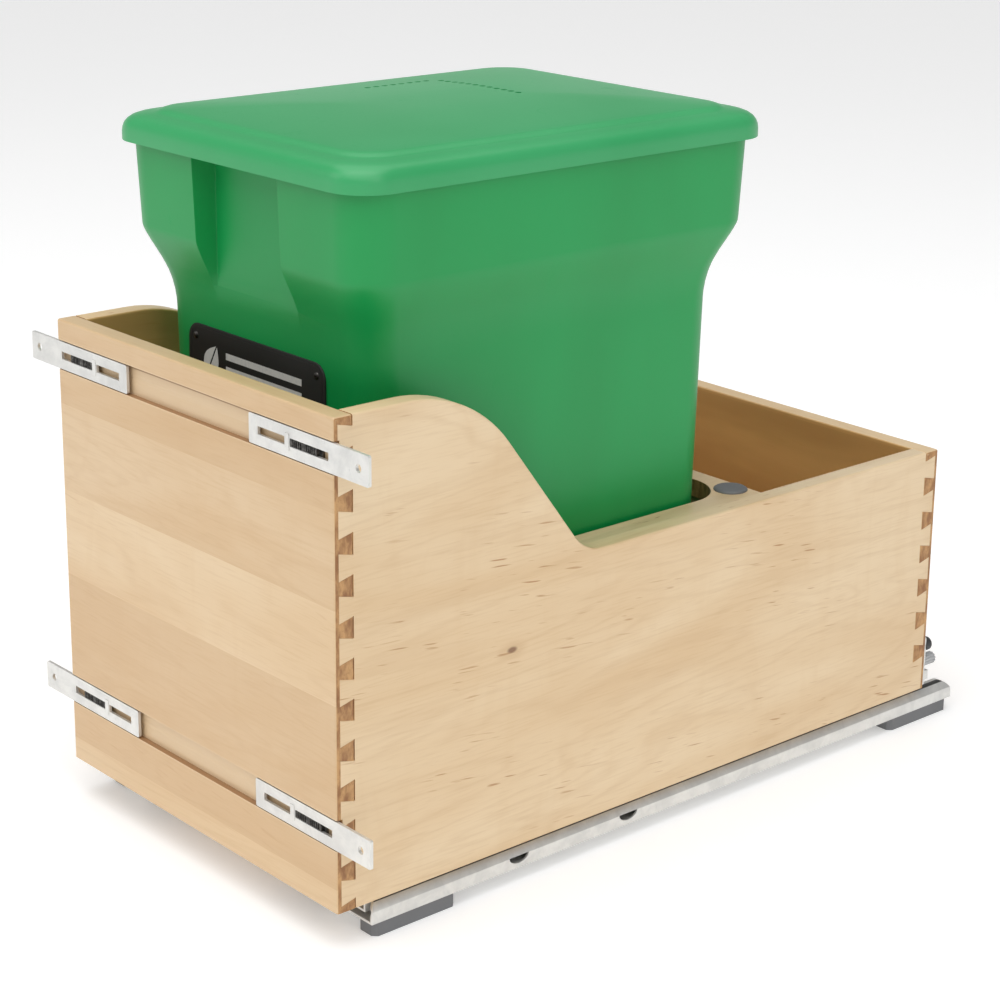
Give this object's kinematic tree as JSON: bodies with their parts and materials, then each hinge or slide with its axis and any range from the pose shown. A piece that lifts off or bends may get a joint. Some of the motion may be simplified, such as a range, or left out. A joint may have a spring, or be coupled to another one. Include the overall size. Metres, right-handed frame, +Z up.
{
  "type": "pull-out waste bin",
  "caption": "Pull-out waste bin for a base cabinet: dovetailed maple drawer with a scooped side on undermount slides, holding a tall lidded plastic bin.",
  "frame": {"origin": "centre of the footprint on the cabinet floor, under the feet", "axes": "+Z up; -Y out of the cabinet, the way the drawer pulls; +X to the right seen from the front"},
  "size_m": [0.352, 0.5664, 0.4682],
  "materials": {
    "maple": "clear satin lacquer on hard maple",
    "plywood": "clear satin lacquer on plywood",
    "green_plastic": "fine moulded texture",
    "charcoal_felt": "needled charcoal felt",
    "black_plate": "satin black with a silver line",
    "zinc_screws": "bright zinc plate",
    "zinc_steel": "rolled zinc-plated sheet",
    "dark_clamp": "blackened, serrated",
    "cage_plastic": "natural acetal",
    "grey_plastic": "moulded grey",
    "dark_plastic": "moulded near-black"
  },
  "bodies": {
    "base": {"base_rail_left": "zinc_steel", "base_rail_right": "zinc_steel", "foot_front_left": "grey_plastic", "foot_front_right": "grey_plastic", "foot_rear_left": "grey_plastic", "foot_rear_right": "grey_plastic", "foot_screws": "zinc_screws"},
    "drawer": {"bottom_panel": "plywood", "bracket_clamps": "dark_clamp", "clamp_screws": "zinc_screws", "clip_screws": "zinc_screws", "divider_panel": "maple", "drawer_rail_left": "zinc_steel", "drawer_rail_right": "zinc_steel", "front_clip_left": "grey_plastic", "front_clip_right": "grey_plastic", "front_panel": "maple", "platform": "maple", "platform_caps": "grey_plastic", "platform_cleat_left": "maple", "platform_cleat_right": "maple", "rear_knob_left": "dark_plastic", "rear_knob_right": "dark_plastic", "rear_panel": "maple", "rear_plate_left": "zinc_steel", "rear_plate_right": "zinc_steel", "side_panel_left": "maple", "side_panel_right": "maple"},
    "bin": {"bin_shell": "green_plastic", "nameplate": "black_plate", "nameplate_rivets": "zinc_screws"},
    "lid": {"lid": "green_plastic", "filter_tray": "green_plastic", "filter_pad": "charcoal_felt"},
    "lower_carriage_left": {"lower_cage_left": "cage_plastic", "lower_rollers_left": "zinc_screws"},
    "mid_rail_left": {"mid_rail_left": "zinc_steel"},
    "upper_carriage_left": {"upper_cage_left": "cage_plastic", "upper_rollers_left": "zinc_screws"},
    "wheel_left": {"adjuster_wheel_left": "grey_plastic"},
    "upper_bracket_left": {"upper_bracket_left": "zinc_steel"},
    "lower_bracket_left": {"lower_bracket_left": "zinc_steel"},
    "lower_carriage_right": {"lower_cage_right": "cage_plastic", "lower_rollers_right": "zinc_screws"},
    "mid_rail_right": {"mid_rail_right": "zinc_steel"},
    "upper_carriage_right": {"upper_cage_right": "cage_plastic", "upper_rollers_right": "zinc_screws"},
    "wheel_right": {"adjuster_wheel_right": "grey_plastic"},
    "upper_bracket_right": {"upper_bracket_right": "zinc_steel"},
    "lower_bracket_right": {"lower_bracket_right": "zinc_steel"}
  },
  "joints": [
    {"name": "drawer_slide", "type": "slide", "parent": "base", "child": "drawer", "axis": [0, -1, 0], "range_m": [0, 0.52]},
    {"name": "lower_carriage_left_slide", "type": "slide", "parent": "base", "child": "lower_carriage_left", "axis": [0, -1, 0], "range_m": [0, 0.1305]},
    {"name": "mid_rail_left_slide", "type": "slide", "parent": "base", "child": "mid_rail_left", "axis": [0, -1, 0], "range_m": [0, 0.2605]},
    {"name": "upper_carriage_left_slide", "type": "slide", "parent": "base", "child": "upper_carriage_left", "axis": [0, -1, 0], "range_m": [0, 0.3905]},
    {"name": "lower_carriage_right_slide", "type": "slide", "parent": "base", "child": "lower_carriage_right", "axis": [0, -1, 0], "range_m": [0, 0.1305]},
    {"name": "mid_rail_right_slide", "type": "slide", "parent": "base", "child": "mid_rail_right", "axis": [0, -1, 0], "range_m": [0, 0.2605]},
    {"name": "upper_carriage_right_slide", "type": "slide", "parent": "base", "child": "upper_carriage_right", "axis": [0, -1, 0], "range_m": [0, 0.3905]},
    {"name": "bin_lift", "type": "slide", "parent": "drawer", "child": "bin", "axis": [0, 0, 1], "range_m": [0, 0.3]},
    {"name": "lid_lift", "type": "slide", "parent": "bin", "child": "lid", "axis": [0, 0, 1], "range_m": [0, 0.06]},
    {"name": "upper_bracket_left_adjust", "type": "slide", "parent": "drawer", "child": "upper_bracket_left", "axis": [1, 0, 0], "range_m": [0, 0.01]},
    {"name": "lower_bracket_left_adjust", "type": "slide", "parent": "drawer", "child": "lower_bracket_left", "axis": [1, 0, 0], "range_m": [0, 0.01]},
    {"name": "wheel_left_turn", "type": "hinge", "parent": "drawer", "child": "wheel_left", "pos_m": [-0.1395, 0.2577, 0.0442], "axis": [0, 1, 0], "range_deg": [-180, 180]},
    {"name": "upper_bracket_right_adjust", "type": "slide", "parent": "drawer", "child": "upper_bracket_right", "axis": [-1, 0, 0], "range_m": [0, 0.01]},
    {"name": "lower_bracket_right_adjust", "type": "slide", "parent": "drawer", "child": "lower_bracket_right", "axis": [-1, 0, 0], "range_m": [0, 0.01]},
    {"name": "wheel_right_turn", "type": "hinge", "parent": "drawer", "child": "wheel_right", "pos_m": [0.1395, 0.2577, 0.0442], "axis": [0, 1, 0], "range_deg": [-180, 180]}
  ],
  "couplings": [
    {"joint": "lower_carriage_left_slide", "follows": "drawer_slide", "ratio": 0.25},
    {"joint": "mid_rail_left_slide", "follows": "drawer_slide", "ratio": 0.5},
    {"joint": "upper_carriage_left_slide", "follows": "drawer_slide", "ratio": 0.75},
    {"joint": "lower_carriage_right_slide", "follows": "drawer_slide", "ratio": 0.25},
    {"joint": "mid_rail_right_slide", "follows": "drawer_slide", "ratio": 0.5},
    {"joint": "upper_carriage_right_slide", "follows": "drawer_slide", "ratio": 0.75}
  ]
}
